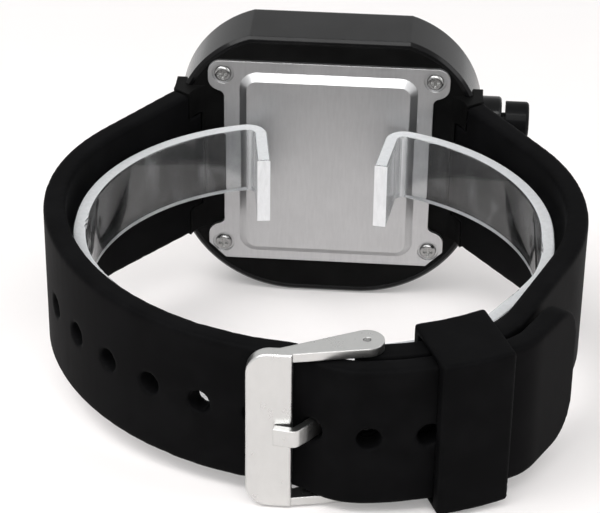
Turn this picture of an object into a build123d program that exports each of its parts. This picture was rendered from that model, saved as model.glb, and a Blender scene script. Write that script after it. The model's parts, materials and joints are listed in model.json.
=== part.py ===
from build123d import *
from math import acos, atan2, cos, degrees, hypot, radians, sin, sqrt
import os

# A digital wristwatch, buckled and lying on its side, in millimetres.
# It is modelled with X to the right, Y towards the dial and Z along the wrist, from the middle of the
# back plate's outer face. main() then leans it onto the case's lower edge and the buckle.

# Fits that the pieces share
seat_gap = 0.05        # between fixed pieces that bear on each other
running_gap = 0.06     # radial, round pins and stems that turn or slide
slide_gap = 0.25       # round pieces that slide over the strap
overrun = 1.0          # how far a cutting tool runs past what it cuts

# Case, seen from the back: a flat facet on top, a curved shoulder each side, round below
case_half_width = 20.7
case_top = 18.5
case_bottom = 20.7
facet_half = 10.75
shoulder_start = 5.0   # height at which the straight flank turns into the shoulder
bottom_radius = 16.5
case_depth = 9.4
case_wall = 1.9
back_chamfer = 0.4
front_round = 1.0
ledge_thickness = 1.0  # what carries the lens
ledge_width = 1.6

# Lens and its gasket
lens_border = 2.3      # case front left showing round the lens
lens_thickness = 1.5
lens_chamfer = 0.3
gasket_thickness = 0.3

# Back frame: the matt plate that closes the case and carries the strap
frame_border = 0.9     # glossy rim left showing round it
flange_thickness = 1.0
frame_thickness = 2.5
frame_window_half_width = 12.3
frame_window_half_height = 13.4
frame_window_round = 3.0

# Back plate: pressed steel with four ears
plate_thickness = 0.5
plate_half_width = 14.1
plate_top = 15.0
plate_bottom = 15.5
ear_half_width = 16.25
upper_ear_height = 4.4
lower_ear_height = 5.4
ear_chamfer = 2.3
ear_round = 1.7
ear_neck_round = 0.9
panel_half_width = 12.0
panel_half_height = 13.8
panel_drop = 0.35      # panel centre below the plate's origin
panel_rise = 0.8
panel_draft = 52.0     # degrees that the pressed wall leans
panel_corner_round = 2.4
plate_gasket_width = 0.8
plate_gasket_depth = 0.4

# Case screws
screw_half_width = 14.25
screw_height = 13.1
screw_radius = 0.75
screw_length = 5.0
screw_head_radius = 1.15
screw_head_height = 0.55
screw_head_round = 0.44
screw_sink_radius = 1.45
screw_sink_depth = 0.25
screw_cross_width = 0.36
screw_cross_length = 1.3
screw_cross_depth = 0.4
post_radius = 2.0

# Strap
strap_thickness = 2.8
strap_root_half_width = 10.9
strap_tail_half_width = 9.2
strap_taper_end = 45.0     # distance behind the back plate at which the taper ends
strap_taper_blend = 500.0
strap_edge_round = 0.5
root_x = 20.8              # where the strap's outer face meets the case
root_y = -0.6
root_heading = 54.0        # degrees that it leaves the case's back at
root_run = 13.7
side_radius_long = 26.0
side_turn_long = 52.0
side_radius_short = 27.0
front_radius = 37.5        # long half, from its side to the buckle

# Where both halves lie on each other they share one centre, which the keeper slides round
wrap_x = 4.5
wrap_y = -28.3
wrap_radius = 36.1         # outer face of the long half
layer_gap = 0.5
wrap_end = 36.0            # degrees round that centre at which the tail leaves it
dip_radius = 8.0           # long half, under the buckle's bar
climb_radius = 9.0         # long half, over the spring bar
climb_end = 6.0
tail_corner_radius = 8.0
tail_corner_turn = 26.0
tail_run = 10.4
tail_tip_round = 4.5
short_leave = 32.0         # degrees at which the short half leaves the shared centre
short_corner_radius = 12.0

# Strap holes
hole_radius = 1.4
hole_pitch = 7.05
hole_shift = 0.2           # of the tongue's hole, past the steepest place of the strap
holes_before = 6           # towards the case
holes_after = 2            # towards the tip

# Strap ends in the case
knuckle_half_width = 7.0
knuckle_inset = 1.9
strap_pin_radius = 0.75
strap_pin_half_length = 9.6
fairing_x = 16.7           # where the frame starts to rise towards the strap
fairing_hollow = 0.25

# Buckle, spring bar and tongue
bar_turn = 6.6             # degrees round the shared centre at which the spring bar lies
spring_bar_radius = 0.65
spring_tip_radius = 0.4
buckle_side_gap = 0.2
buckle_side = 1.1
buckle_left = -5.3
buckle_right = 0.0
buckle_face_y = -63.6
buckle_bar = 1.5
buckle_boss_radius = 2.0
buckle_corner_round = 2.8
buckle_edge_round = 0.3
tongue_thickness = 0.9
tongue_half_width = 1.1
tongue_lag = 0.15          # how far it lies before the middle of the strap's hole
tongue_slot_gap = 0.3
tongue_hub_wall = 0.55
tongue_tip_reach = 2.0     # how far its tip lies over the buckle's bar
tongue_bend = 0.7
tongue_rest_gap = 0.1      # left between tongue and bar
tongue_arch = 0.35         # how far it bows clear of the bar's edge
tongue_dip = 0.35          # how far it keeps inside the strap's mouth

# Keeper
keeper_turn = 26.9         # degrees round the shared centre at which it lies
keeper_skew = 4.9          # degrees that its straight ends lean back from there
keeper_width = 9.0
keeper_reach = 20.0        # degrees each way that it is cut from
keeper_wall = 1.6
keeper_cheek = 0.8
keeper_round = 0.4

# Clear display cuff inside the strap
cuff_thickness = 1.7
cuff_low = -3.0
cuff_high = 6.5
cuff_half_width = 30.0
cuff_side_y = -27.2        # where it is widest
cuff_front_y = -54.7
cuff_far_radius = 26.9
cuff_far_turn = 72.0
cuff_side_turn = 42.0
cuff_lip = 7.6
cuff_lip_turn = 100.0
cuff_lip_radius = 2.7
cuff_edge_round = 0.35

# Push button on the flank
button_z = 5.2
button_radius = 2.5
button_length = 3.2
button_dome = 0.5
button_skirt_gap = 0.15    # left between cap and boss when it is pushed in
button_travel = 0.4
boss_radius = 3.1
boss_reach = 2.7
boss_round = 0.5
stem_radius = 0.9
stem_inside = 2.6
clip_radius = 1.4
clip_groove_radius = 0.6
clip_thickness = 0.4
clip_gap = 0.15            # between clip and wall
clip_mouth = 1.1
seal_section = 0.45
seal_inset = 1.2           # from the boss's outer end

# Module inside the case
module_gap = 0.4
battery_radius = 10.0
battery_thickness = 1.6
battery_step = 0.25
battery_lip = 1.4
battery_back = 1.9
holder_thickness = 1.0
pocket_gap = 0.2
battery_bridge_thickness = 0.3
battery_bridge_half_width = 1.8
battery_bridge_reach = 11.6
battery_leg_depth = 0.7    # of its legs in the holder
contact_thickness = 0.2
contact_half_width = 1.4
contact_reach = 4.2
contact_gap = 0.4
module_screw_x = 9.6
module_screw_z = 11.6
module_screw_radius = 0.5
module_screw_length = 1.5
module_head_radius = 1.0
module_head_height = 0.45
module_slot_width = 0.3
board_border = 5.1
board_thickness = 0.8
display_half_width = 12.0
display_half_height = 5.2
display_thickness = 2.6
digit_width = 3.4
digit_height = 6.4
digit_places = (-8.4, -3.8, 3.8, 8.4)
segment_width = 0.75
segment_rise = 0.12
segment_gap = 0.1
colon_height = 1.5
colon_radius = 0.42
mask_thickness = 0.25
mask_margin = 0.4
chip_half_width = 3.0
chip_thickness = 0.9
chip_z = -10.2
chip_pin_width = 0.35
chip_pin_reach = 0.7
chip_pin_pitch = 0.9
chip_pins_a_side = 6
crystal_radius = 0.95
crystal_flat = 0.15
crystal_length = 5.6
crystal_x = 5.4
crystal_z = -12.0
lead_thickness = 0.25
lead_length = 1.2
lead_spacing = 0.7
resistor_length = 1.6
resistor_width = 0.8
resistor_height = 0.5
resistor_count = 6
resistor_pitch = 2.4
resistor_z = 8.2
switch_half_width = 2.0
switch_length = 3.0
switch_depth = 1.5
plunger_radius = 0.55
plunger_shows = 0.7

# Worked out from the sizes above
rim_back = plate_thickness
rim_front = rim_back + case_depth
lens_back = rim_front - lens_thickness
ledge_front = lens_back - gasket_thickness
ledge_back = ledge_front - ledge_thickness
frame_front = rim_back + frame_thickness
holder_back = frame_front + seat_gap
holder_front = holder_back + holder_thickness
battery_front = battery_back + battery_thickness
board_front = holder_front + board_thickness
display_front = board_front + display_thickness
button_y = board_front + switch_depth / 2
boss_end = case_half_width + boss_reach
cap_start = boss_end + button_travel + button_skirt_gap
stem_end = case_half_width - case_wall - stem_inside
clip_start = case_half_width - case_wall - clip_gap - clip_thickness
seal_start = boss_end - seal_inset
button_axis = (button_y, button_z)
post_back = frame_front + seat_gap
wrap_centre = Vector(wrap_x, wrap_y)
short_outer = wrap_radius - strap_thickness - layer_gap
short_inner = short_outer - strap_thickness
buckle_half_height = strap_tail_half_width + buckle_side_gap + buckle_side
tongue_hub_radius = spring_bar_radius + running_gap + tongue_hub_wall


def unit(heading):
    return Vector(cos(radians(heading)), sin(radians(heading)))


def round_wrap(radius, turn):
    """The place at a radius from the shared centre, a turn from straight behind it."""
    return wrap_centre + radius * unit(turn - 90)


def dial_plane(y):
    """A plane facing the wrist whose own x and y are the watch's X and Z."""
    return Plane(origin=(0, y, 0), x_dir=(1, 0, 0), z_dir=(0, -1, 0))


def slab(sketch, back, front):
    return extrude(dial_plane(front) * sketch, front - back)


def upright(sketch, low, high):
    """A plan drawing, raised along the wrist's axis from low to high."""
    return extrude(Plane.XY.offset(low) * sketch, high - low)


def rod(radius, start, end):
    axis = Vector(*end) - Vector(*start)
    return extrude(Plane(origin=start, z_dir=axis) * Circle(radius), axis.length)


class Route:
    """Lines and arcs in plan along the outer face of a band, with its inside on one hand."""

    def __init__(self, start, heading, inside):
        self.point, self.heading, self.inside = Vector(*start), heading, inside
        self.stretches = []

    def inward(self, heading):
        return unit(heading + self.inside * 90)

    def run(self, length):
        self.stretches.append(("run", self.point, self.heading, length, 0))
        self.point = self.point + length * unit(self.heading)
        return self

    def bend(self, radius, turn):
        """A positive turn curls towards the inside."""
        side = 1 if turn > 0 else -1
        centre = self.point + side * radius * self.inward(self.heading)
        self.stretches.append(("bend", centre, self.heading, radius, turn))
        self.heading += self.inside * turn
        self.point = centre - side * radius * self.inward(self.heading)
        return self

    def bend_to(self, radius, heading):
        turn = self.inside * (heading - self.heading)
        return self.bend(radius, (turn + 180) % 360 - 180)

    def centre(self, radius):
        return self.point + radius * self.inward(self.heading)

    def length(self):
        return sum(size if kind == "run" else radians(abs(turn)) * size
                   for kind, _, _, size, turn in self.stretches)

    def edges(self, depth):
        made = []
        for kind, place, heading, size, turn in self.stretches:
            if kind == "run":
                start = place + depth * self.inward(heading)
                made.append(Line(start, start + size * unit(heading)))
            else:
                side = 1 if turn > 0 else -1
                from_angle = heading - side * self.inside * 90
                made.append(CenterArc(place, size - side * depth, from_angle, self.inside * turn))
        return made

    def spot(self, distance, depth):
        """A place and heading, by its distance along the outer face and its depth inside it."""
        for kind, place, heading, size, turn in self.stretches:
            length = size if kind == "run" else radians(abs(turn)) * size
            if distance <= length:
                break
            distance -= length
        if kind == "run":
            return place + distance * unit(heading) + depth * self.inward(heading), heading
        side = 1 if turn > 0 else -1
        there = heading + self.inside * side * degrees(distance / size)
        return place - side * (size - side * depth) * self.inward(there), there

    def band(self, thickness):
        outer, inner = self.edges(0), self.edges(thickness)
        ends = [Line(outer[0] @ 0, inner[0] @ 0), Line(outer[-1] @ 1, inner[-1] @ 1)]
        return make_face(outer + inner + ends)


# Routes of the two strap halves and the cuff

def root_place(side):
    return (side * root_x, root_y)


def long_route():
    route = Route(root_place(-1), 180 + root_heading, 1)
    route.run(root_run).bend(side_radius_long, side_turn_long)
    front = route.centre(front_radius)
    climb = round_wrap(wrap_radius - climb_radius, climb_end)
    across = climb - front
    reach_front, reach_climb = front_radius + dip_radius, climb_radius + dip_radius
    along = (reach_front**2 - reach_climb**2 + across.length**2) / (2 * across.length)
    aside = sqrt(reach_front**2 - along**2)
    forward = across.normalized()
    dip = front + along * forward + aside * Vector(forward.Y, -forward.X)
    to_dip, from_climb = dip - front, dip - climb
    route.bend_to(front_radius, degrees(atan2(to_dip.Y, to_dip.X)) + 90)
    route.bend_to(dip_radius, degrees(atan2(from_climb.Y, from_climb.X)) + 90)
    steepest = route.length()
    route.bend_to(climb_radius, climb_end).bend_to(wrap_radius, wrap_end)
    route.bend(tail_corner_radius, tail_corner_turn).run(tail_run)
    return route, steepest


def short_route():
    route = Route(root_place(1), -root_heading, -1).run(root_run)
    side = route.centre(side_radius_short)
    corner = round_wrap(short_outer - short_corner_radius, short_leave)
    across = corner - side
    shrink = side_radius_short - short_corner_radius
    normal = degrees(atan2(across.Y, across.X)) + degrees(acos(shrink / across.length))
    route.bend_to(side_radius_short, normal - 90)
    route.run(sqrt(across.length**2 - shrink**2))
    route.bend_to(short_corner_radius, 180 + short_leave).bend_to(short_outer, 180 + bar_turn)
    return route


def cuff_route():
    """Lip, far arc, side arc and front arc, then the same again the other way round."""
    reach = cuff_side_y - cuff_front_y
    sine, cosine = sin(radians(cuff_side_turn)), cos(radians(cuff_side_turn))
    scale = (1 - cosine) * (1 - sine) - cosine * sine
    side_radius = (cuff_half_width * (1 - sine) - reach * cosine) / scale
    cuff_front_radius = (reach * (1 - cosine) - cuff_half_width * sine) / scale
    backwards = Route((-cuff_half_width, cuff_side_y), 90, -1)
    backwards.bend(cuff_far_radius, cuff_far_turn)
    start = backwards.point
    far_heading = 180 + (90 - cuff_far_turn)
    lip = Route(start, far_heading - 180, -1).bend(cuff_lip_radius, cuff_lip_turn).run(cuff_lip)
    route = Route(lip.point, lip.heading + 180, 1).run(cuff_lip)
    route.bend(cuff_lip_radius, cuff_lip_turn).bend(cuff_far_radius, cuff_far_turn)
    route.bend(side_radius, cuff_side_turn).bend(cuff_front_radius, 2 * (90 - cuff_side_turn))
    route.bend(side_radius, cuff_side_turn).bend(cuff_far_radius, cuff_far_turn)
    return route.bend(cuff_lip_radius, cuff_lip_turn).run(cuff_lip)


tail_route, hole_zero = long_route()
buckle_route = short_route()
hole_zero += hole_shift
spring_bar_place = round_wrap(short_outer - strap_thickness / 2, bar_turn)


# Case

def case_outline(inset):
    shoulder_radius = ((case_half_width - facet_half)**2 + (case_top - shoulder_start)**2) / (
        2 * (case_half_width - facet_half))
    shoulder = Vector(case_half_width - shoulder_radius, shoulder_start)
    rise = degrees(atan2(case_top - shoulder.Y, facet_half - shoulder.X))
    foot = case_half_width - bottom_radius
    low = bottom_radius - case_bottom
    half = make_face([
        Line((0, case_top), (facet_half, case_top)),
        CenterArc(shoulder, shoulder_radius, 0, rise),
        Line((case_half_width, shoulder_start), (case_half_width, low)),
        CenterArc((foot, low), bottom_radius, -90, 90),
        Line((foot, -case_bottom), (0, -case_bottom)),
        Line((0, -case_bottom), (0, case_top)),
    ])
    whole = half + mirror(half, about=Plane.YZ)
    return offset(whole, amount=-inset, kind=Kind.INTERSECTION) if inset else whole


def four_corners(half_width, height):
    return [(x, z) for x in (-half_width, half_width) for z in (-height, height)]


screw_places = four_corners(screw_half_width, screw_height)


def on_screws(sketch):
    return Sketch() + [Pos(x, z) * sketch for x, z in screw_places]


def root_block(side, reach, half_height, front):
    """What lies beside the case's flank where the strap comes in."""
    width = case_half_width - fairing_x + reach
    low = Pos(side * (fairing_x + width / 2), 0) * Rectangle(width, 2 * half_height)
    return slab(low, rim_back, front)


def button_rod(radius, start, end):
    return rod(radius, (start, *button_axis), (end, *button_axis))


def case_shell():
    body = slab(case_outline(0), rim_back, rim_front)
    body = chamfer(body.faces().sort_by(Axis.Y)[0].edges(), back_chamfer)
    body = fillet(body.faces().sort_by(Axis.Y)[-1].edges(), front_round)
    boss = button_rod(boss_radius, case_half_width - case_wall, boss_end)
    body += fillet(boss.edges().sort_by(Axis.X)[-1], boss_round)
    body -= slab(case_outline(case_wall), rim_back - overrun, ledge_back)
    posts = slab(on_screws(Circle(post_radius)), post_back, ledge_back)
    body += posts & slab(case_outline(case_wall / 2), post_back, ledge_back)
    body -= slab(case_outline(frame_border), rim_back - overrun, rim_back + flange_thickness + seat_gap)
    body -= slab(case_outline(lens_border), ledge_front, rim_front + overrun)
    body -= slab(case_outline(lens_border + ledge_width), ledge_back - overrun, rim_front + overrun)
    for side in (-1, 1):
        body -= root_block(side, overrun, strap_root_half_width + seat_gap, post_back)
    body -= slab(on_screws(Circle(screw_radius + seat_gap)), rim_back, rim_back + screw_length + overrun)
    body -= button_rod(stem_radius + running_gap, 0, boss_end + overrun)
    return body - button_rod(stem_radius + seal_section, seal_start, seal_start + seal_section + seat_gap)


def lens():
    pane = slab(case_outline(lens_border + seat_gap), lens_back, rim_front)
    return chamfer(pane.faces().sort_by(Axis.Y)[-1].edges(), lens_chamfer)


def lens_gasket():
    ring = case_outline(lens_border + seat_gap) - case_outline(lens_border + ledge_width)
    return slab(ring, ledge_front, lens_back)


# Back frame with the two wings that hold the strap

def root_frame(side):
    """Outer point, inner point, pin centre and outgoing direction of a strap's root."""
    heading = 270 + side * (90 - root_heading)
    outward = unit(heading + side * 90)
    outer = Vector(*root_place(side))
    inner = outer - strap_thickness * outward
    pin = (outer + inner) / 2 - knuckle_inset * unit(heading)
    return outer, inner, pin, heading


def wing(side):
    outer, inner, _, _ = root_frame(side)
    foot = Vector(side * fairing_x, rim_back)
    middle = (foot + inner) / 2 + Vector(side * fairing_hollow, fairing_hollow)
    flank = side * case_half_width
    section = make_face([
        ThreePointArc(foot, middle, inner),
        Line(inner, outer),
        Line(outer, (flank, rim_back)),
        Line((flank, rim_back), (flank, frame_front)),
        Line((flank, frame_front), (side * fairing_x, frame_front)),
        Line((side * fairing_x, frame_front), foot),
    ])
    return upright(section, -strap_root_half_width, strap_root_half_width)


def knuckle(side, gap):
    """The strap's tongue of rubber round its pin, or with a gap the slot that takes it."""
    outer, inner, pin, heading = root_frame(side)
    radius = strap_thickness / 2 - seat_gap + gap
    reach = knuckle_inset + overrun * (gap > 0)
    web = Pos(pin.X, pin.Y) * Rot(0, 0, heading) * (Pos(reach / 2, 0) * Rectangle(reach, 2 * radius))
    half_height = knuckle_half_width + gap
    return upright(web + Pos(pin.X, pin.Y) * Circle(radius), -half_height, half_height)


def frame_window(inset):
    width, height = frame_window_half_width - inset, frame_window_half_height - inset
    return RectangleRounded(2 * width, 2 * height, frame_window_round - inset)


def back_frame():
    body = slab(case_outline(frame_border + seat_gap), rim_back, rim_back + flange_thickness)
    body += slab(case_outline(case_wall + seat_gap), rim_back, frame_front)
    for side in (-1, 1):
        body += wing(side)
        body -= knuckle(side, 2 * seat_gap)
        _, _, pin, _ = root_frame(side)
        half = strap_pin_half_length + seat_gap
        body -= rod(strap_pin_radius + seat_gap, (pin.X, pin.Y, -half), (pin.X, pin.Y, half))
    body -= slab(frame_window(0), rim_back - overrun, frame_front + overrun)
    body -= slab(on_screws(Circle(screw_radius + 2 * seat_gap)), rim_back - overrun, frame_front + overrun)
    body -= slab(gasket_ring(seat_gap), rim_back, rim_back + plate_gasket_depth + seat_gap)
    return body


def gasket_ring(gap):
    inner = -plate_gasket_width / 2 + gap
    return frame_window(inner - plate_gasket_width - 2 * gap) - frame_window(inner)


def plate_gasket():
    return slab(gasket_ring(0), rim_back, rim_back + plate_gasket_depth)


def strap_pins():
    half = strap_pin_half_length
    centres = [root_frame(side)[2] for side in (-1, 1)]
    return [rod(strap_pin_radius, (pin.X, pin.Y, -half), (pin.X, pin.Y, half)) for pin in centres]


# Back plate and its screws

def plate_outline():
    """Half the outline from the top down, each corner with its radius, and the same mirrored."""
    upper, lower = plate_top - upper_ear_height, lower_ear_height - plate_bottom
    corners = [
        (ear_half_width, plate_top, ear_round), (ear_half_width, upper, ear_round),
        (plate_half_width, upper, ear_neck_round), (plate_half_width, lower, ear_neck_round),
        (ear_half_width, lower, ear_round), (ear_half_width, ear_chamfer - plate_bottom, 0),
        (ear_half_width - ear_chamfer, -plate_bottom, 0),
    ]
    points = [(x, z) for x, z, _ in corners] + [(-x, z) for x, z, _ in reversed(corners)]
    rounds = [r for _, _, r in corners] + [r for _, _, r in reversed(corners)]
    return make_face(FilletPolyline(points, radius=rounds, close=True))


def pressing(inset, foot, rise):
    """The raised panel as a drafted block that stands from foot towards the wrist."""
    shape = RectangleRounded(2 * (panel_half_width - inset), 2 * (panel_half_height - inset),
                             panel_corner_round - inset)
    return extrude(dial_plane(foot) * (Pos(0, -panel_drop) * shape), rise, taper=panel_draft)


def back_plate():
    plate = slab(plate_outline(), 0, plate_thickness)
    plate += pressing(0, 0, panel_rise)
    plate -= pressing(plate_thickness / 2, plate_thickness, panel_rise)
    plate -= slab(on_screws(Circle(screw_radius + 2 * seat_gap)), -overrun, plate_thickness + overrun)
    plate -= slab(on_screws(Circle(screw_sink_radius)), -overrun, screw_sink_depth)
    return plate


def case_screws():
    made = []
    for x, z in screw_places:
        shank = slab(Circle(screw_radius), screw_sink_depth, rim_back + screw_length)
        head = slab(Circle(screw_head_radius), screw_sink_depth - screw_head_height, screw_sink_depth)
        head = fillet(head.edges().sort_by(Axis.Y)[0], screw_head_round)
        cross = Rectangle(screw_cross_length, screw_cross_width) + Rectangle(
            screw_cross_width, screw_cross_length)
        top = screw_sink_depth - screw_head_height
        head -= slab(cross, top - overrun, top + screw_cross_depth)
        made.append(Pos(x, 0, z) * (shank + head))
    return made


# Strap

def taper_block():
    """Everything inside the strap's width, which narrows from the case to the buckle."""
    reach = 2 * wrap_radius
    front = overrun + strap_thickness
    wide, narrow = strap_root_half_width, strap_tail_half_width
    flare = front * (wide - narrow) / strap_taper_end
    side = [(front, wide + flare), (-strap_taper_end, narrow), (-reach, narrow)]
    outline = FilletPolyline(side + [(y, -z) for y, z in reversed(side)],
                             radius=[0, strap_taper_blend, 0, 0, strap_taper_blend, 0], close=True)
    return extrude(Plane.YZ * make_face(outline), reach, both=True)


def soften(strap):
    """Rounds every edge but the straight ones across the strap."""
    return fillet(strap.edges().filter_by(Axis.Z, reverse=True), strap_edge_round)


def strap_band(route):
    low = -strap_root_half_width - overrun
    return upright(route.band(strap_thickness), low, -low) & taper_block()


def pin_bore(side):
    _, _, pin, _ = root_frame(side)
    half = knuckle_half_width + overrun
    return rod(strap_pin_radius + seat_gap, (pin.X, pin.Y, -half), (pin.X, pin.Y, half))


def narrow_tail(band):
    """Keeps the long half's far end at its narrow width, although it comes back towards the case."""
    beyond = Pos(wrap_x + wrap_radius, wrap_y) * Rectangle(2 * wrap_radius, 4 * wrap_radius)
    wide, narrow = strap_root_half_width + overrun, strap_tail_half_width
    return band - upright(beyond, narrow, wide) - upright(beyond, -wide, -narrow)


def round_tip(band):
    """Cuts the long half's end square with two round corners."""
    end, heading = tail_route.spot(tail_route.length(), strap_thickness / 2)
    centre = end - (strap_tail_half_width + overrun) * unit(heading)
    across = unit(heading + 90)
    flat = Plane(origin=centre, x_dir=unit(heading), z_dir=across)
    reach = 2 * strap_tail_half_width
    spare = Pos(reach / 2, 0) * Rectangle(reach, 2 * reach) - RectangleRounded(
        reach, reach, tail_tip_round)
    return band - extrude(flat * spare, strap_thickness, both=True)


def strap_long():
    band = soften(round_tip(narrow_tail(strap_band(tail_route))))
    for number in range(-holes_before, holes_after + 1):
        place, heading = tail_route.spot(hole_zero + number * hole_pitch, 0)
        inward = tail_route.inward(heading)
        start, end = place - overrun * inward, place + (strap_thickness + overrun) * inward
        band -= rod(hole_radius, (start.X, start.Y, 0), (end.X, end.Y, 0))
    return band + knuckle(-1, 0) - pin_bore(-1)


def strap_short():
    band = soften(strap_band(buckle_route))
    pin = spring_bar_place
    half = strap_tail_half_width - strap_edge_round
    band += upright(Pos(pin.X, pin.Y) * Circle(strap_thickness / 2), -half, half)
    band -= rod(spring_bar_radius + seat_gap, (pin.X, pin.Y, -strap_root_half_width),
                (pin.X, pin.Y, strap_root_half_width))
    slot_half = tongue_half_width + tongue_slot_gap
    slot = Circle(tongue_hub_radius + tongue_slot_gap)
    slot += Pos(-strap_thickness, 0) * Rectangle(2 * strap_thickness, 2 * strap_thickness)
    band -= upright(Pos(pin.X, pin.Y) * Rot(0, 0, bar_turn) * slot, -slot_half, slot_half)
    return band + knuckle(1, 0) - pin_bore(1)


# Buckle

def spring_bar():
    pin = spring_bar_place
    body_half = strap_tail_half_width
    body = rod(spring_bar_radius, (pin.X, pin.Y, -body_half), (pin.X, pin.Y, body_half))
    tip_half = buckle_half_height - seat_gap
    return body + rod(spring_tip_radius, (pin.X, pin.Y, -tip_half), (pin.X, pin.Y, tip_half))


def buckle_frame():
    pin = spring_bar_place
    back = buckle_face_y + buckle_bar
    width = buckle_right - buckle_left
    middle_x, middle_y = (buckle_left + buckle_right) / 2, buckle_face_y + buckle_bar / 2
    bar_end = Pos(middle_x, middle_y) * Rectangle(width, buckle_bar)
    boss = Pos(pin.X, pin.Y) * Circle(buckle_boss_radius)
    neck_x = buckle_right - buckle_bar
    neck = Line((neck_x, buckle_face_y), (neck_x, back))
    arm = make_hull(boss.edges() + [neck]) + bar_end
    inner = buckle_half_height - buckle_side
    body = upright(arm, -buckle_half_height, -inner) + upright(arm, inner, buckle_half_height)
    body += upright(bar_end, -inner, inner)
    front_reach = pin.X + buckle_boss_radius + overrun - buckle_left
    view = Pos(buckle_left + front_reach / 2, 0) * Rectangle(front_reach, 2 * buckle_half_height)
    left = [v for v in view.vertices() if v.X < middle_x]
    view = fillet(left, buckle_corner_round)
    body &= slab(view, buckle_face_y - overrun, pin.Y + buckle_boss_radius + overrun)
    body = fillet(body.faces().sort_by(Axis.Y)[0].outer_wire().edges(), buckle_edge_round)
    body -= rod(spring_tip_radius + running_gap, (pin.X, pin.Y, -buckle_half_height - overrun),
                (pin.X, pin.Y, buckle_half_height + overrun))
    return body


def buckle_tongue():
    pin = spring_bar_place
    mouth_out, heading = tail_route.spot(hole_zero - tongue_lag, 0)
    inward = tail_route.inward(heading)
    dive_in = mouth_out + (strap_thickness + tongue_dip) * inward
    dive_out = mouth_out - tongue_thickness * inward
    rest_y = buckle_face_y - tongue_thickness / 2 - tongue_rest_gap
    over = rest_y - tongue_arch
    path = FilletPolyline(
        pin, dive_in, dive_out, (buckle_right + tongue_arch, over),
        (buckle_right - tongue_tip_reach, rest_y), radius=tongue_bend)
    strip = trace(path, line_width=tongue_thickness)
    strip += Pos(pin.X, pin.Y) * Circle(tongue_hub_radius)
    strip -= Pos(pin.X, pin.Y) * Circle(spring_bar_radius + running_gap)
    return upright(strip, -tongue_half_width, tongue_half_width)


# Keeper and cuff

def wrap_sector(inner, outer, start, end):
    """A piece of the ring between two radii round the shared centre."""
    a, b = round_wrap(inner, start), round_wrap(outer, start)
    c, d = round_wrap(outer, end), round_wrap(inner, end)
    return make_face([
        Line(a, b), CenterArc(wrap_centre, outer, start - 90, end - start),
        Line(c, d), CenterArc(wrap_centre, inner, start - 90, end - start)])


def keeper():
    inner, outer = short_inner - slide_gap, wrap_radius + slide_gap
    half = strap_tail_half_width + slide_gap
    start, end = keeper_turn - keeper_reach, keeper_turn + keeper_reach
    middle = round_wrap(inner, keeper_turn)
    between = Pos(middle.X, middle.Y) * Rot(0, 0, keeper_turn - keeper_skew) * Rectangle(
        keeper_width, wrap_radius)
    outline = wrap_sector(inner - keeper_wall, outer + keeper_wall, start, end) & between
    block = upright(outline, -half - keeper_cheek, half + keeper_cheek)
    block = fillet(block.edges(), keeper_round)
    return block - upright(wrap_sector(inner, outer, start, end), -half, half)


def display_cuff():
    band = upright(cuff_route().band(cuff_thickness), cuff_low, cuff_high)
    return fillet(band.edges().filter_by(Axis.Z, reverse=True), cuff_edge_round)


# Push button: the cap, what is fixed to its stem and what stays in the boss

def button_cap():
    cap = button_rod(button_radius, cap_start, cap_start + button_length)
    cap = fillet(cap.edges().sort_by(Axis.X)[-1], button_dome)
    cap += button_rod(stem_radius, stem_end, cap_start)
    groove = button_rod(stem_radius + overrun, clip_start, clip_start + clip_thickness)
    return cap - (groove - button_rod(clip_groove_radius, clip_start - overrun, cap_start))


def button_clip():
    ring = button_rod(clip_radius, clip_start, clip_start + clip_thickness)
    ring -= button_rod(clip_groove_radius, clip_start - overrun, cap_start)
    mouth = Pos(clip_start, button_y + clip_radius / 2, button_z) * Box(
        2 * clip_thickness, clip_radius, clip_mouth, align=(Align.CENTER, Align.CENTER, Align.CENTER))
    return ring - mouth


def button_seal():
    ring = button_rod(stem_radius + seal_section - seat_gap, seal_start + seat_gap / 2,
                      seal_start + seal_section + seat_gap / 2)
    return ring - button_rod(stem_radius + running_gap, clip_start, cap_start)


def switch_plunger():
    return button_rod(plunger_radius, stem_end - plunger_shows - button_travel, stem_end)


def tact_switch():
    front = stem_end - plunger_shows
    body = slab(Pos(front - switch_length / 2, button_z) * Rectangle(switch_length, 2 * switch_half_width),
                board_front, board_front + switch_depth)
    depth = 2 * button_travel + seat_gap
    return body - button_rod(plunger_radius + running_gap, front - depth, front + overrun)


# Battery and what holds it

def battery():
    can = slab(Circle(battery_radius), battery_back, battery_front - battery_step)
    cap = slab(Circle(battery_radius - battery_lip), battery_front - battery_step, battery_front)
    return fillet(can.edges().sort_by(Axis.Y)[0], battery_step) + cap


def battery_bridge():
    """A sprung strip over the battery with a leg pressed into the holder at each end."""
    back = battery_back - battery_bridge_thickness
    width = 2 * battery_bridge_half_width
    strip = slab(Rectangle(2 * battery_bridge_reach, width), back, battery_back)
    for side in (-1, 1):
        leg = Pos(side * (battery_bridge_reach - battery_bridge_thickness / 2), 0)
        strip += slab(leg * Rectangle(battery_bridge_thickness, width), back,
                      holder_back + battery_leg_depth)
    return strip


def battery_contact():
    """A leaf on the board's back that reaches through the holder to the battery."""
    on_board = holder_front - contact_thickness / 2
    on_battery = battery_front + contact_thickness / 2
    path = Polyline((-contact_reach, on_board), (-contact_reach / 3, on_board),
                    (contact_reach / 3, on_battery), (contact_reach, on_battery))
    return upright(trace(path, line_width=contact_thickness), -contact_half_width, contact_half_width)


# Module

def inside_case(border):
    return case_outline(border) - on_screws(Circle(post_radius + module_gap))


module_screw_places = [(-module_screw_x, -module_screw_z), (module_screw_x, module_screw_z)]


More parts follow.
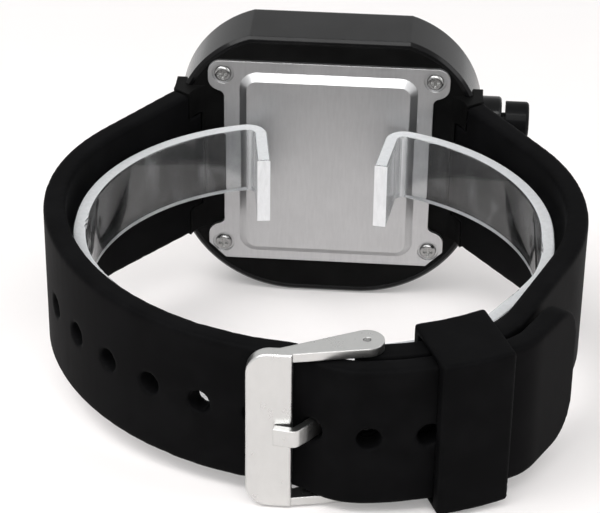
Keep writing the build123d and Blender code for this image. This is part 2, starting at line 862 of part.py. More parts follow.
def module_holder():
    body = slab(inside_case(case_wall + module_gap), holder_back, holder_front)
    body -= slab(Circle(battery_radius + pocket_gap), holder_back - overrun, battery_front + seat_gap)
    window = Rectangle(2 * (contact_reach + contact_gap), 2 * (contact_half_width + contact_gap))
    body -= slab(window, holder_back, holder_front + overrun)
    slot = Rectangle(battery_bridge_thickness + 2 * seat_gap, 2 * (battery_bridge_half_width + seat_gap))
    for side in (-1, 1):
        leg = Pos(side * (battery_bridge_reach - battery_bridge_thickness / 2), 0)
        body -= slab(leg * slot, holder_back - overrun, holder_back + battery_leg_depth + seat_gap)
    for x, z in module_screw_places:
        body -= slab(Pos(x, z) * Circle(module_screw_radius + seat_gap), holder_back - overrun,
                     holder_front + overrun)
    return body


def circuit_board():
    board = inside_case(board_border)
    for x, z in module_screw_places:
        board -= Pos(x, z) * Circle(module_screw_radius + 2 * seat_gap)
    return slab(board, holder_front, board_front)


def module_screws():
    made = []
    for x, z in module_screw_places:
        screw = slab(Circle(module_screw_radius), board_front - module_screw_length, board_front)
        top = board_front + module_head_height
        screw += slab(Circle(module_head_radius), board_front, top)
        slot = Rectangle(2 * module_head_radius + overrun, module_slot_width)
        screw -= slab(slot, top - module_head_height / 2, top + overrun)
        made.append(Pos(x, 0, z) * screw)
    return made


def display_module():
    return slab(Rectangle(2 * display_half_width, 2 * display_half_height), board_front, display_front)


def segment(length):
    """A bar with pointed ends, lying along X."""
    half, tip = length / 2 - segment_gap, segment_width / 2
    corners = [(-half, 0), (tip - half, tip), (half - tip, tip), (half, 0), (half - tip, -tip),
               (tip - half, -tip)]
    return make_face(Polyline(corners, close=True))


def digit_segments(lit):
    """The bars of one digit; lit holds a letter for each bar, clockwise from the top, then the middle."""
    across = digit_width - segment_width
    tall = (digit_height - segment_width) / 2
    flat, stood = segment(across), Rot(0, 0, 90) * segment(tall)
    places = {
        "a": Pos(0, tall) * flat, "b": Pos(across / 2, tall / 2) * stood,
        "c": Pos(across / 2, -tall / 2) * stood, "d": Pos(0, -tall) * flat,
        "e": Pos(-across / 2, -tall / 2) * stood, "f": Pos(-across / 2, tall / 2) * stood,
        "g": flat}
    return [bar for letter, bar in places.items() if letter in lit]


shown_digits = ("bc", "abcdef", "abcdef", "abcdefg")


def segments_lit():
    bars = []
    for x, lit in zip(digit_places, shown_digits):
        bars += [Pos(x, 0) * bar for bar in digit_segments(lit)]
    bars += [Pos(0, z) * Circle(colon_radius) for z in (-colon_height, colon_height)]
    return [slab(bar, display_front, display_front + segment_rise) for bar in bars]


def segments_dark():
    bars = []
    for x, lit in zip(digit_places, shown_digits):
        dark = [letter for letter in "abcdefg" if letter not in lit]
        bars += [Pos(x, 0) * bar for bar in digit_segments(dark)]
    return [slab(bar, display_front, display_front + segment_rise) for bar in bars]


def dial_mask():
    outline = case_outline(lens_border + ledge_width + mask_margin)
    window = Rectangle(2 * display_half_width, 2 * display_half_height)
    return slab(outline - window, lens_back - mask_thickness, lens_back)


def controller_chip():
    """A square package with feet along two sides."""
    body = slab(Pos(0, chip_z) * Rectangle(2 * chip_half_width, 2 * chip_half_width), board_front,
                board_front + chip_thickness)
    for side in (-1, 1):
        for number in range(chip_pins_a_side):
            along = (number - (chip_pins_a_side - 1) / 2) * chip_pin_pitch
            x = side * (chip_half_width + chip_pin_reach / 2)
            foot = Pos(x, chip_z + along) * Rectangle(chip_pin_reach, chip_pin_width)
            body += slab(foot, board_front, board_front + lead_thickness)
    return body


def quartz_crystal():
    """A round can with a flat side on the board and two leads."""
    y = board_front + crystal_radius - crystal_flat
    end = crystal_x + crystal_length
    can = rod(crystal_radius, (crystal_x, y, crystal_z), (end, y, crystal_z))
    can &= slab(Pos(crystal_x + crystal_length / 2, crystal_z) * Rectangle(
        2 * crystal_length, 2 * crystal_length), board_front, board_front + 2 * crystal_radius)
    for side in (-1, 1):
        lead = Pos(crystal_x - lead_length / 2, crystal_z + side * lead_spacing / 2)
        can += slab(lead * Rectangle(lead_length, lead_thickness), board_front,
                    board_front + lead_thickness)
    return can


def chip_resistors():
    made = []
    for number in range(resistor_count):
        x = (number - (resistor_count - 1) / 2) * resistor_pitch
        body = slab(Pos(x, resistor_z) * Rectangle(resistor_width, resistor_length), board_front,
                    board_front + resistor_height)
        made.append(body)
    return made


pieces = {
    "case_shell": case_shell,
    "lens": lens,
    "lens_gasket": lens_gasket,
    "back_frame": back_frame,
    "plate_gasket": plate_gasket,
    "back_plate": back_plate,
    "case_screws": case_screws,
    "strap_pins": strap_pins,
    "strap_long": strap_long,
    "strap_short": strap_short,
    "spring_bar": spring_bar,
    "buckle_frame": buckle_frame,
    "buckle_tongue": buckle_tongue,
    "keeper": keeper,
    "display_cuff": display_cuff,
    "button_cap": button_cap,
    "button_clip": button_clip,
    "button_seal": button_seal,
    "switch_plunger": switch_plunger,
    "tact_switch": tact_switch,
    "battery": battery,
    "battery_bridge": battery_bridge,
    "battery_contact": battery_contact,
    "module_holder": module_holder,
    "module_screws": module_screws,
    "circuit_board": circuit_board,
    "display_module": display_module,
    "segments_lit": segments_lit,
    "segments_dark": segments_dark,
    "dial_mask": dial_mask,
    "controller_chip": controller_chip,
    "quartz_crystal": quartz_crystal,
    "chip_resistors": chip_resistors,
}


def lean_angle():
    """How far the watch leans when the case's lower back edge and the buckle touch the table."""
    depth = rim_back + back_chamfer - buckle_face_y
    drop = case_bottom - buckle_half_height
    return degrees(atan2(drop, depth))


def main():
    os.makedirs("parts", exist_ok=True)
    made = {name: make() for name, make in pieces.items()}
    lean = Rot(lean_angle(), 0, 0)
    leaned = {}
    for name, piece in made.items():
        solids = piece if isinstance(piece, list) else piece.solids()
        leaned[name] = Compound([lean * solid for solid in solids])
    box = Compound(list(leaned.values())).bounding_box()
    settle = Pos(-box.center().X, -box.center().Y, -box.min.Z)
    for name, piece in leaned.items():
        export_step(settle * piece, f"parts/{name}.step")
    print("lean", round(lean_angle(), 3), "shift", settle.position)


if __name__ == "__main__":
    main()
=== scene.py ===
import bpy
import json
import math
from mathutils import Matrix, Vector, noise
from mathutils.bvhtree import BVHTree


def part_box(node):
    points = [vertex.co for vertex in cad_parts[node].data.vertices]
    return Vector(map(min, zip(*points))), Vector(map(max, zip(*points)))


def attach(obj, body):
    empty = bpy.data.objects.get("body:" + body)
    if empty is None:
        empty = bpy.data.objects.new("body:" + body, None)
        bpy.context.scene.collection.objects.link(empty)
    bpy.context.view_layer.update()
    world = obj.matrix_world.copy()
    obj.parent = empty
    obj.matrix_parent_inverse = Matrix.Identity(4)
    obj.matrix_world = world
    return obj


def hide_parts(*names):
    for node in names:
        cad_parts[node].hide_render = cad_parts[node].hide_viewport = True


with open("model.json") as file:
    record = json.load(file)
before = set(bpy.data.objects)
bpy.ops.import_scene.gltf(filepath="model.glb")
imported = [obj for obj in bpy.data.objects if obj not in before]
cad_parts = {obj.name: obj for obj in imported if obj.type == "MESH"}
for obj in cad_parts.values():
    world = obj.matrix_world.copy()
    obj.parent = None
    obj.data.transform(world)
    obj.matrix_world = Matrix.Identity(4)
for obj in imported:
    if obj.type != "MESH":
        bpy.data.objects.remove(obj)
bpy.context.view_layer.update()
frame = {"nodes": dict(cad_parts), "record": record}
nodes = frame["nodes"]
mm = 0.001
lean = math.radians(8.986)  # how far the watch leans back on its case edge
sideAxis = Vector((1, 0, 0))  # to the button's side
loopAxis = Vector((0, -math.sin(lean), math.cos(lean)))  # across the strap's width
dialAxis = Vector((0, math.cos(lean), math.sin(lean)))  # out of the dial
print("frame loaded:", len(nodes), "nodes")


# A shader socket that can stand in sums, so a mask is written as plain arithmetic.
class Wire:
    def __init__(self, net, socket):
        self.net, self.socket = net, socket

    def math(self, operation, *terms):
        return self.net.node("Math", {"operation": operation}, dict(enumerate(terms)))

    def __add__(self, other):
        return self.math("ADD", self, other)

    def __radd__(self, other):
        return self.math("ADD", other, self)

    def __sub__(self, other):
        return self.math("SUBTRACT", self, other)

    def __rsub__(self, other):
        return self.math("SUBTRACT", other, self)

    def __mul__(self, other):
        return self.math("MULTIPLY", self, other)

    def __rmul__(self, other):
        return self.math("MULTIPLY", other, self)

    def most(self, other):
        return self.math("MAXIMUM", self, other)

    def size(self):
        return self.math("ABSOLUTE", self)

    # noise runs from 0 to 1: this turns it into a swing of that width round zero
    def swing(self, amount):
        return amount * (self - 0.5)

    # 0 below low, 1 above high, and smooth between them
    def step(self, low, high):
        return self.net.node("MapRange", {"interpolation_type": "SMOOTHSTEP"},
                             {"Value": self, "From Min": low, "From Max": high})


# The node tree of a material or the world, with the one way in which nodes are added.
class Net:
    def __init__(self, tree, output):
        self.tree, self.output = tree, tree.nodes[output]

    def feed(self, socket, value):
        if isinstance(value, Wire):
            self.tree.links.new(value.socket, socket)
        elif socket.type == "RGBA" and len(value) == 3:
            socket.default_value = (*value, 1)
        else:
            socket.default_value = value

    def fill(self, node, sockets, out=0):
        for name, value in sockets.items():
            self.feed(node.inputs[name], value)
        return Wire(self, node.outputs[out])

    def node(self, kind, settings=None, sockets=None, out=0):
        made = self.tree.nodes.new("ShaderNode" + kind)
        for name, value in (settings or {}).items():
            setattr(made, name, value)
        return self.fill(made, sockets or {}, out)

    def blend(self, amount, under, over):
        whole = self.node("MixShader", None, {0: amount, 1: under, 2: over})
        self.feed(self.output.inputs["Surface"], whole)

    # 1 for the rays that show the surroundings as they are: straight, off gloss, through clear plastic
    def plainSight(self):
        straight, gloss, through = (self.node("LightPath", out="Is " + kind + " Ray")
                                    for kind in ("Camera", "Glossy", "Transmission"))
        return straight.most(gloss).most(through)


# One material: fixed numbers go straight on the shader, and wires feed what varies.
class Finish(Net):
    def __init__(self, name, **fixed):
        self.material = bpy.data.materials.new(name)
        self.material.use_nodes = True
        super().__init__(self.material.node_tree, "Material Output")
        self.shader = self.tree.nodes["Principled BSDF"]
        self.body = Wire(self, self.shader.outputs[0])
        self.put(**fixed)

    def put(self, **values):
        sockets = {socket.name.replace(" ", "").lower(): socket for socket in self.shader.inputs}
        for name, value in values.items():
            self.feed(sockets[name.lower()], value)

    # the watch's own directions, in metres: x across, y out of the dial, z across the strap
    def place(self, stretch=(1, 1, 1)):
        seen = self.node("TexCoord", out="Object")
        turned = self.node("Mapping", None, {"Vector": seen, "Rotation": (-lean, 0, 0)})
        return self.node("VectorMath", {"operation": "MULTIPLY"}, {0: turned, 1: stretch})

    def part(self, vector, letter):
        return self.node("SeparateXYZ", None, {0: vector}, "xyz".index(letter))

    # 1 where a face looks along the way, 0 where it stands across it
    def facing(self, way):
        flat = self.node("NewGeometry", out="True Normal")
        return self.node("VectorMath", {"operation": "DOT_PRODUCT"}, {0: flat, 1: tuple(way)}, "Value")

    def cloud(self, where, size, detail=2, rough=0.5):
        return self.node("TexNoise", None, {"Vector": where, "Scale": 1 / (size * mm),
                                            "Detail": detail, "Roughness": rough})

    def cells(self, where, size):
        return self.node("TexVoronoi", None, {"Vector": where, "Scale": 1 / (size * mm)})

    # the colour mix has its factor at 0, its colours at 6 and 7 and its result at 2
    def tint(self, amount, low, high):
        return self.node("Mix", {"data_type": "RGBA"}, {0: amount, 6: low, 7: high}, 2)

    def bump(self, height, depth, strength, under=None):
        sockets = {"Height": height, "Distance": depth * mm, "Strength": strength}
        if under:
            sockets["Normal"] = under
        return self.node("Bump", None, sockets)

    def softEdge(self, radius):
        return self.node("Bevel", {"samples": 4}, {"Radius": radius * mm})


# In the looks of materials, sizes, depths and edges are in millimetres. A wear holds what all finishes
# of its kind share, and a piece's own look may say otherwise.
rubberWear = {"blotch": (0.35, 0.75), "dustSwing": 0.16, "grainSwing": 0.1, "grainBump": 0.6,
              "dustDepth": 0.06, "dustBump": 0.5}


def rubberFinish(name, look):
    look = {**rubberWear, **look}
    it = Finish(name, specularIORLevel=look["shine"])
    where = it.place()
    dust = it.cloud(where, look["patch"], detail=4, rough=0.6)
    grain = it.cloud(where, look["grain"], detail=3, rough=0.7)
    it.put(baseColor=it.tint(dust.step(*look["blotch"]), look["dark"], look["light"]),
           roughness=look["rough"] + dust.swing(look["dustSwing"]) + grain.swing(look["grainSwing"]),
           normal=it.bump(grain, look["depth"], look["grainBump"],
                          it.bump(dust, look["dustDepth"], look["dustBump"])))
    return it.material


plasticWear = {"blotch": (0.3, 0.7), "hazeSwing": 0.12, "coatRough": 0.08, "coatLeast": 0.7,
               "coatHaze": 0.6, "grainBump": 0.5}


def plasticFinish(name, look):
    look = {**plasticWear, **look}
    it = Finish(name, specularIORLevel=look["shine"], coatRoughness=look["coatRough"])
    where = it.place()
    haze = it.cloud(where, look["patch"], detail=3, rough=0.6)
    grain = it.cells(where, look["grain"])
    it.put(baseColor=it.tint(haze.step(*look["blotch"]), look["dark"], look["light"]),
           roughness=look["rough"] + haze.swing(look["hazeSwing"]),
           normal=it.bump(grain, look["depth"], look["grainBump"], it.softEdge(look["edge"])))
    if look["coat"]:
        it.put(coatWeight=look["coat"] * (look["coatLeast"] + look["coatHaze"] * haze))
    return it.material


metalWear = {"blotch": (0.3, 0.7), "grainShare": 0.55, "smudgeShare": 0.45, "grit": 0.14, "bump": 0.4,
             "nick": 0.15, "nickEdge": (0.0, 0.1), "nickSize": 6, "nickStretch": (0.6, 0.35)}


def metalFinish(name, look):
    look = {**metalWear, **look}
    it = Finish(name, metallic=1.0, specularIORLevel=0.5)
    grain = it.cloud(it.place(look["stretch"]), look["grain"], detail=3, rough=0.65)
    smudge = it.cloud(it.place(), look["patch"], detail=4, rough=0.6)
    wide, tall = (look["stretch"][way] * share for way, share in zip((0, 2), look["nickStretch"]))
    nicks = it.cells(it.place((wide, 1, tall)), look["grain"] * look["nickSize"])
    tone = (look["grainShare"] * grain + look["smudgeShare"] * smudge).step(*look["blotch"])
    height = grain + look["nick"] * nicks.step(*look["nickEdge"])
    it.put(baseColor=it.tint(tone, look["dark"], look["light"]),
           roughness=look["rough"] + grain.swing(look["grit"]) + smudge.swing(look["smear"]),
           normal=it.bump(height, look["depth"], look["bump"], it.softEdge(look["edge"])))
    return it.material


def dress(material, *names):
    for name in names:
        for held in nodes[name].material_slots:
            held.material = material


def addObject(name, data):
    made = bpy.data.objects.new(name, data)
    bpy.context.scene.collection.objects.link(made)
    return made


# A piece that stands for a CAD node and moves with one of the watch's bodies.
def standIn(piece, node, body, material):
    piece.data.materials.clear()
    piece.data.materials.append(material)
    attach(piece, body)
    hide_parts(node)


caseLook = {"dark": (0.002, 0.002, 0.0022), "light": (0.004, 0.004, 0.0044), "rough": 0.2,
            "coat": 0.12, "shine": 0.12, "patch": 6.0, "grain": 0.5, "depth": 0.002, "edge": 0.25}
backFrameLook = {"dark": (0.002, 0.002, 0.002), "light": (0.004, 0.004, 0.004), "rough": 0.55,
                 "coat": 0.0, "shine": 0.05, "patch": 4.0, "grain": 0.16, "depth": 0.015, "edge": 0.2}
capLook = {"dark": (0.003, 0.003, 0.0032), "light": (0.005, 0.005, 0.0054), "rough": 0.4,
           "coat": 0.04, "shine": 0.05, "patch": 2.0, "grain": 0.2, "depth": 0.004, "edge": 0.15}
dress(plasticFinish("caseGloss", caseLook), "case_shell")
dress(plasticFinish("backFrameMatt", backFrameLook), "back_frame")
dress(plasticFinish("buttonGloss", capLook), "button_cap")

plateLook = {"dark": (0.48, 0.48, 0.485), "light": (0.54, 0.54, 0.545), "rough": 0.4, "smear": 0.08,
             "patch": 5.0, "grain": 0.35, "stretch": (1.0, 1.0, 0.12), "depth": 0.006, "edge": 0.12}
buckleLook = {"dark": (0.57, 0.57, 0.56), "light": (0.6, 0.6, 0.59), "rough": 0.28, "smear": 0.03,
              "patch": 3.0, "grain": 0.5, "stretch": (0.5, 0.5, 0.2), "depth": 0.0003, "edge": 0.2,
              "nick": 0.0, "grit": 0.03}
screwLook = {"dark": (0.24, 0.24, 0.24), "light": (0.42, 0.42, 0.41), "rough": 0.24, "smear": 0.1,
             "patch": 1.0, "grain": 0.12, "stretch": (1.0, 1.0, 1.0), "depth": 0.003, "edge": 0.08}
dress(metalFinish("plateSteel", plateLook), "back_plate")
dress(metalFinish("buckleSteel", buckleLook), "buckle_frame", "buckle_tongue")
dress(metalFinish("brightSteel", screwLook), "case_screws", "strap_pins", "spring_bar", "button_clip",
      "battery_bridge", "module_screws")
print("case, plate and buckle finished")

lensLook = {"red": (0.30, 0.035, 0.03), "shade": 0.8, "rough": 0.04, "smear": 9.0, "smearSwing": 0.04,
            "depth": 0.02, "bump": 0.3}


def lensFinish(look):
    it = Finish("lensRed", transmissionWeight=0.95, IOR=1.49, specularIORLevel=0.5)
    smear = it.cloud(it.place(), look["smear"], detail=3, rough=0.6)
    deeper = tuple(look["shade"] * part for part in look["red"])
    it.put(baseColor=it.tint(smear, look["red"], deeper),
           roughness=look["rough"] + smear.swing(look["smearSwing"]),
           normal=it.bump(smear, look["depth"], look["bump"]))
    return it.material


dress(lensFinish(lensLook), "lens")

litLook = {"core": (1.0, 0.05, 0.02), "edge": (0.8, 0.02, 0.01), "glow": 5.0, "rough": 0.3,
           "patch": 0.6, "blotch": (0.3, 0.7)}


def litFinish(look):
    it = Finish("segmentLit", emissionStrength=look["glow"], roughness=look["rough"])
    spread = it.cloud(it.place(), look["patch"]).step(*look["blotch"])
    glow = it.tint(spread, look["edge"], look["core"])
    it.put(baseColor=glow, emissionColor=glow)
    return it.material


unlitLook = {"dark": (0.05, 0.008, 0.007), "light": (0.09, 0.012, 0.01), "rough": 0.3, "coat": 0.2,
             "shine": 0.5, "patch": 1.0, "grain": 0.2, "depth": 0.002, "edge": 0.03}
displayLook = {"dark": (0.012, 0.006, 0.006), "light": (0.02, 0.01, 0.01), "rough": 0.35, "coat": 0.1,
               "shine": 0.4, "patch": 2.0, "grain": 0.15, "depth": 0.003, "edge": 0.06}
maskLook = {"dark": (0.006, 0.006, 0.006), "light": (0.01, 0.01, 0.01), "rough": 0.7, "coat": 0.0,
            "shine": 0.2, "patch": 3.0, "grain": 0.1, "depth": 0.008, "edge": 0.03}
holderLook = {"dark": (0.62, 0.61, 0.58), "light": (0.72, 0.71, 0.68), "rough": 0.5, "coat": 0.0,
              "shine": 0.4, "patch": 3.0, "grain": 0.2, "depth": 0.01, "edge": 0.1}
chipLook = {"dark": (0.012, 0.012, 0.013), "light": (0.022, 0.022, 0.023), "rough": 0.55, "coat": 0.0,
            "shine": 0.35, "patch": 1.0, "grain": 0.08, "depth": 0.01, "edge": 0.05}
dress(plasticFinish("displayBlack", displayLook), "display_module")
dress(plasticFinish("maskPaper", maskLook), "dial_mask")
dress(plasticFinish("holderWhite", holderLook), "module_holder")
dress(plasticFinish("chipBlack", chipLook), "controller_chip", "tact_switch", "switch_plunger",
      "chip_resistors")

cellLook = {"dark": (0.5, 0.5, 0.49), "light": (0.66, 0.66, 0.65), "rough": 0.3, "smear": 0.12,
            "patch": 4.0, "grain": 0.2, "stretch": (1.0, 1.0, 0.15), "depth": 0.003, "edge": 0.15}
brassLook = {"dark": (0.55, 0.38, 0.14), "light": (0.72, 0.53, 0.24), "rough": 0.28, "smear": 0.12,
             "patch": 2.0, "grain": 0.2, "stretch": (0.3, 1.0, 1.0), "depth": 0.003, "edge": 0.08}
crystalLook = {"dark": (0.6, 0.6, 0.62), "light": (0.75, 0.75, 0.77), "rough": 0.25, "smear": 0.1,
               "patch": 1.5, "grain": 0.15, "stretch": (0.2, 1.0, 1.0), "depth": 0.003, "edge": 0.08}
dress(metalFinish("cellSteel", cellLook), "battery")
dress(metalFinish("contactBrass", brassLook), "battery_contact")
dress(metalFinish("crystalCan", crystalLook), "quartz_crystal")


# The bars are laid out again from left to right as the wearer sees them, in the same four cells.
def layBars(name, node, material):
    middle = sum(corner[0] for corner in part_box("lens")) / 2
    mesh = nodes[node].data.copy()
    mesh.transform(Matrix.Translation((2 * middle, 0, 0)) @ Matrix.Diagonal((-1, 1, 1, 1)))
    mesh.flip_normals()
    standIn(addObject(name, mesh), node, "watch", material)


layBars("barsLit", "segments_lit", litFinish(litLook))
layBars("barsDark", "segments_dark", plasticFinish("segmentDark", unlitLook))

boardLook = {"green": (0.012, 0.10, 0.045), "track": (0.03, 0.2, 0.09), "pitch": 7.8, "kink": 4.0,
             "trackEdge": (0.45, 0.55), "rough": 0.35, "weave": 0.3, "weaveSwing": 0.1,
             "weaveHeight": 0.15, "depth": 0.03, "bump": 0.6, "edge": 0.06}


def boardFinish(look):
    it = Finish("boardGreen", specularIORLevel=0.5)
    where = it.place()
    bent = it.node("VectorMath", {"operation": "ADD"}, {0: where, 1: it.cells(where, look["kink"])})
    lane = it.node("TexWave", {"bands_direction": "X"}, {"Vector": bent, "Scale": 1 / (look["pitch"] * mm)})
    tracks = lane.step(*look["trackEdge"])
    weave = it.cloud(where, look["weave"], rough=0.6)
    it.put(baseColor=it.tint(tracks, look["green"], look["track"]),
           roughness=look["rough"] + weave.swing(look["weaveSwing"]),
           normal=it.bump(tracks + look["weaveHeight"] * weave, look["depth"], look["bump"],
                          it.softEdge(look["edge"])))
    return it.material


dress(boardFinish(boardLook), "circuit_board")
print("display and movement finished")

# Rubber: the strap halves and the keeper are cast again in fine even mesh, with soft worn edges.
strapLook = {"dark": (0.0018, 0.0018, 0.002), "light": (0.0035, 0.0035, 0.0038), "rough": 0.62,
             "shine": 0.03, "patch": 5.0, "grain": 0.14, "depth": 0.012}
gasketLook = {"dark": (0.006, 0.006, 0.006), "light": (0.012, 0.012, 0.012), "rough": 0.6,
              "shine": 0.3, "patch": 2.0, "grain": 0.1, "depth": 0.006}
strapRubber = rubberFinish("strapRubber", strapLook)
dress(rubberFinish("gasketRubber", gasketLook), "lens_gasket", "plate_gasket", "button_seal")

strapCast = {"body": "watch", "voxel": 0.28, "smooth": 6, "ripple": 0.02, "slides": 0}
keeperCast = {"body": "keeper", "voxel": 0.2, "smooth": 4, "ripple": 0.012,
              "slides": 8}  # degrees, a little past its joint's range
castings = {
    "rubberStrapLong": {"node": "strap_long", **strapCast},
    "rubberStrapShort": {"node": "strap_short", **strapCast},
    "rubberKeeper": {"node": "keeper", **keeperCast},
}
castMould = {"weld": 0.001, "softness": 0.5, "rippleScale": 220}


def castRubber(name, how):
    piece = addObject(name, nodes[how["node"]].data.copy())
    piece.modifiers.new("joined", "WELD").merge_threshold = castMould["weld"] * mm
    voxels = piece.modifiers.new("voxels", "REMESH")
    voxels.mode = "VOXEL"
    voxels.voxel_size = how["voxel"] * mm
    soft = piece.modifiers.new("soft", "SMOOTH")
    soft.factor = castMould["softness"]
    soft.iterations = how["smooth"]
    graph = bpy.context.evaluated_depsgraph_get()
    mesh = bpy.data.meshes.new_from_object(piece.evaluated_get(graph))
    piece.modifiers.clear()
    piece.data = mesh
    # a slow ripple that only ever sinks, so the rubber stays clear of its neighbours
    spots = [vertex.co.copy() for vertex in mesh.vertices]
    outward = [normal.vector.copy() for normal in mesh.vertex_normals]
    sunk = [spot - normal * (0.5 + 0.5 * noise.noise(spot * castMould["rippleScale"])) * how["ripple"] * mm
            for spot, normal in zip(spots, outward)]
    mesh.vertices.foreach_set("co", [value for spot in sunk for value in spot])
    mesh.shade_smooth()
    standIn(piece, how["node"], how["body"], strapRubber)
    print(name, len(mesh.polygons), "faces")
    return piece


rubber = {castName: castRubber(castName, castHow) for castName, castHow in castings.items()}

# Clear bent strip: see-through faces, and frosted cut edges that catch the light; the lower rim is painted
# whiter as a painted highlight, and the lip faces carry a painted white reflection.
cuffLook = {"clear": (0.94, 0.96, 0.97), "frost": (0.6, 0.61, 0.62), "sawn": (0.95, 0.95, 0.96),
            "rough": 0.075, "haze": 7.0, "hazeSwing": 0.1, "blotch": (0.3, 0.8), "depth": 0.05, "bump": 0.4,
            "scuff": 0.5, "scuffSwing": 0.08, "scuffStretch": (1, 1, 0.25),
            "drawn": 3.0, "drawnEdge": (0.5, 0.8), "drawnStretch": (1, 1, 0.5), "smear": 0.2,
            "lipFrom": 11.5, "lipBack": 8.0, "lipFade": 2.0, "lipHaze": 0.2,
            "rimFaces": (0.6, 0.9), "endFaces": (0.8, 0.95), "underFaces": (0.5, 0.8),
            "cover": 0.85, "coverSwing": 0.3, "through": 0.15, "mattRough": 0.4}


def cuffFinish(look):
    it = Finish("cuffClear", transmissionWeight=1.0, IOR=1.49, specularIORLevel=0.5)
    where = it.place()
    haze = it.cloud(where, look["haze"], detail=4, rough=0.6)
    scuff = it.cloud(it.place(look["scuffStretch"]), look["scuff"], detail=3, rough=0.7)
    it.put(baseColor=it.tint(haze.step(*look["blotch"]), look["clear"], look["frost"]),
           roughness=look["rough"] + haze.swing(look["hazeSwing"]) + scuff.swing(look["scuffSwing"]),
           normal=it.bump(haze, look["depth"], look["bump"]))
    # the lips are the two turned ends, next to the back plate
    lipFrom, lipBack, fade = (look[key] * mm for key in ("lipFrom", "lipBack", "lipFade"))
    lip = 1 - it.part(where, "x").size().step(lipFrom - fade, lipFrom)
    lip = lip * it.part(where, "y").step(lipBack, lipBack + fade)
    # cut faces: both rims, and the ends that face the wearer's wrist; the ends and the down-facing rim take
    # the whiter colour, which on that rim is a painted highlight
    down, toWrist = it.facing(-loopAxis), it.facing(-dialAxis)
    ends = lip * toWrist.step(*look["endFaces"])
    # painted highlight: faces that look down are marked here to take the whiter colour
    under = down.step(*look["underFaces"])
    cut = down.size().step(*look["rimFaces"]).most(ends).most(under)
    drawn = it.cloud(it.place(look["drawnStretch"]), look["drawn"], detail=4, rough=0.6)
    # the drawn scuffs are real haze on the plastic; the lip share is a painted white reflection on the lip
    # faces
    scuffsAndLipReflection = look["smear"] * drawn.step(*look["drawnEdge"]) + look["lipHaze"] * lip
    frost, sawn = (it.node("MixShader", None, {
        0: look["through"],
        1: it.node("BsdfDiffuse", None, {"Color": look[white], "Roughness": look["mattRough"]}),
        2: it.node("BsdfTranslucent", None, {"Color": look[white]})}) for white in ("frost", "sawn"))
    matt = it.node("MixShader", None, {0: ends.most(under), 1: frost, 2: sawn})
    it.blend(scuffsAndLipReflection.most(cut * (look["cover"] + scuff.swing(look["coverSwing"]))), it.body, matt)
    return it.material


# The cuff is a springy strip: in its front half it leans out until it nearly meets the rubber.
cuffHold = {"clear": 0.3, "heights": (-2.5, 2.0, 6.0), "step": 2, "spread": 4, "far": 80.0}


def wallOf(mesh):
    return BVHTree.FromPolygons([vertex.co for vertex in mesh.vertices],
                                [face.vertices for face in mesh.polygons])


# an angle round the loop: 0 to the button's side, 90 out of the dial, 270 to the buckle
def loopWay(angle):
    return math.cos(math.radians(angle)) * sideAxis + math.sin(math.radians(angle)) * dialAxis


def springCuff(how, material):
    low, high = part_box("display_cuff")
    middle = (low + high) / 2
    mesh = nodes["display_cuff"].data.copy()
    strip = wallOf(mesh)
    walls = [(wallOf(rubber[name].data), casting["slides"]) for name, casting in castings.items()]
    hinge = next(Vector(joint["pos_m"]) for joint in frame["record"]["behaviour"]["joints"]
                 if joint["name"] == "keeper_slide")

    # how far the rubber is from the hub; the ray turns instead of the keeper that slides
    def reach(wall, hub, angle, slid):
        turn = Matrix.Rotation(math.radians(slid), 3, loopAxis)
        return wall.ray_cast(hinge + turn @ (hub - hinge), turn @ loopWay(angle))[3]

    def room(angle):
        found = []
        for height in how["heights"]:
            hub = middle + height * mm * loopAxis
            hits = [reach(wall, hub, angle, slid)
                    for wall, slides in walls for slid in range(0, slides + 1, how["step"])]
            hits = [hit for hit in hits if hit is not None]
            far = how["far"] * mm
            outer = strip.ray_cast(hub + far * loopWay(angle), -loopWay(angle))[3]
            if outer is not None and hits:
                found.append(min(hits) - (far - outer))
        return max(0, min(found) - how["clear"] * mm) if found else 0

    # the lean is the least room round each angle, then evened out
    spread = range(-how["spread"], how["spread"] + 1)
    rooms = [room(angle) if angle > 180 else 0 for angle in range(0, 360, how["step"])]
    places = range(len(rooms))
    least = [min(rooms[(place + shift) % len(rooms)] for shift in spread) for place in places]
    leans = [sum(least[(place + shift) % len(rooms)] for shift in spread) / len(spread) for place in places]
    for vertex in mesh.vertices:
        away = vertex.co - middle
        turn = math.degrees(math.atan2(away.dot(dialAxis), away.x)) % 360 / how["step"]
        before, share = int(turn), turn - int(turn)
        out = (1 - share) * leans[before] + share * leans[(before + 1) % len(leans)]
        vertex.co += out * loopWay(turn * how["step"])
    standIn(addObject("clearCuff", mesh), "display_cuff", "cuff", material)
    print("cuff leans out by up to", round(max(leans) / mm, 2), "mm")


springCuff(cuffHold, cuffFinish(cuffLook))

# Studio: a pale sheet of floor, four soft lamps and an even surround.
studioLook = {"floor": (0.92, 0.885, 0.875), "shade": 0.97, "patch": 30.0, "reach": 3.0, "below": 0.2,
              "white": 0.2, "whiter": (0.10, 0.35), "surround": 0.5, "behind": (0.8, 0.8, 0.8)}


def layFloor(look):
    reach = look["reach"]
    mesh = bpy.data.meshes.new("paperFloor")
    corners = [(x * reach, y * reach, -look["below"] * mm) for x, y in ((-1, -1), (1, -1), (1, 1), (-1, 1))]
    mesh.from_pydata(corners, [], [(0, 1, 2, 3)])
    floor = addObject("paperFloor", mesh)
    it = Finish("paper", roughness=0.9, specularIORLevel=0.1)
    where = it.place()
    shaded = tuple(look["shade"] * part for part in look["floor"])
    it.put(baseColor=it.tint(it.cloud(where, look["patch"], detail=3), look["floor"], shaded))
    # the sheet goes white away from the watch, and keeps its shadow near it
    away = it.node("VectorMath", {"operation": "LENGTH"}, {0: where}, "Value").step(*look["whiter"])
    amount = it.plainSight() * (look["white"] + (1 - look["white"]) * away)
    it.blend(amount, it.body, it.node("Emission", None, {"Color": (1, 1, 1), "Strength": 1.0}))
    mesh.materials.append(it.material)


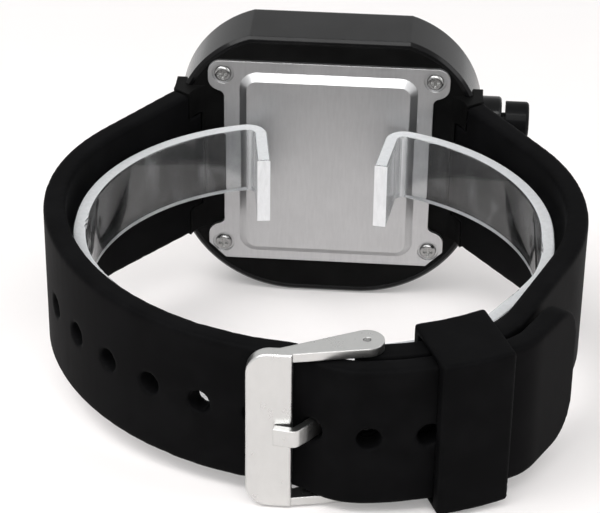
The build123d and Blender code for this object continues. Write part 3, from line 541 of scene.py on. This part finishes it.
def lightWorld(look):
    world = bpy.data.worlds.new("studio")
    bpy.context.scene.world = world
    world.use_nodes = True
    net = Net(world.node_tree, "World Output")
    light = net.fill(net.tree.nodes["Background"], {"Color": (1, 1, 1), "Strength": look["surround"]})
    behind = net.node("Background", None, {"Color": look["behind"], "Strength": 1.0})
    net.blend(net.plainSight(), light, behind)


lamps = {
    "keySoftbox": {"at": (-0.35, -0.25, 0.55), "wide": 0.45, "tall": 0.35, "power": 2.6},
    "topSoftbox": {"at": (0.0, -0.42, 0.56), "wide": 0.5, "tall": 0.14, "power": 1.6},
    "sideSoftbox": {"at": (0.50, -0.10, 0.30), "wide": 0.3, "tall": 0.35, "power": 0.8},
    "frontSoftbox": {"at": (0.08, -0.65, 0.36), "wide": 0.5, "tall": 0.4, "power": 1.8},
}
lampAim = Vector((0, 0, 0.02))


def hangLamp(name, how):
    data = bpy.data.lights.new(name, "AREA")
    data.shape = "RECTANGLE"
    data.size, data.size_y, data.energy = how["wide"], how["tall"], how["power"]
    lamp = addObject(name, data)
    lamp.location = how["at"]
    lamp.rotation_euler = (lampAim - lamp.location).to_track_quat("-Z", "Y").to_euler()


layFloor(studioLook)
lightWorld(studioLook)
for lampName, lampHow in lamps.items():
    hangLamp(lampName, lampHow)

# Camera: behind the buckle, a little above, rolled a touch as the photograph is.
cameraLook = {"azimuth": 3.5222, "elevation": 22.0723, "roll": 1.4117, "distance": 0.3273,
              "aim": (-0.003635, 0.028312, 0.005559), "lens": 140.316, "sensor": 36.0,
              "sees": (0.01, 20.0)}


def placeCamera(how):
    turn, rise, roll = (math.radians(how[key]) for key in ("azimuth", "elevation", "roll"))
    back = Vector((math.sin(turn) * math.cos(rise), -math.cos(turn) * math.cos(rise), math.sin(rise)))
    right = Vector((math.cos(turn), math.sin(turn), 0))
    level = back.cross(right)
    across = right * math.cos(roll) + level * math.sin(roll)
    data = bpy.data.cameras.new("studioCamera")
    data.lens, data.sensor_width, data.sensor_fit = how["lens"], how["sensor"], "HORIZONTAL"
    data.clip_start, data.clip_end = how["sees"]
    camera = addObject("studioCamera", data)
    turned = camera.matrix_world.to_3x3()
    turned.col[0], turned.col[1], turned.col[2] = across, back.cross(across), back
    camera.matrix_world = turned.to_4x4()
    camera.location = Vector(how["aim"]) + back * how["distance"]
    bpy.context.scene.camera = camera


placeCamera(cameraLook)
bpy.context.scene.view_settings.view_transform = "Standard"
print("studio lit")
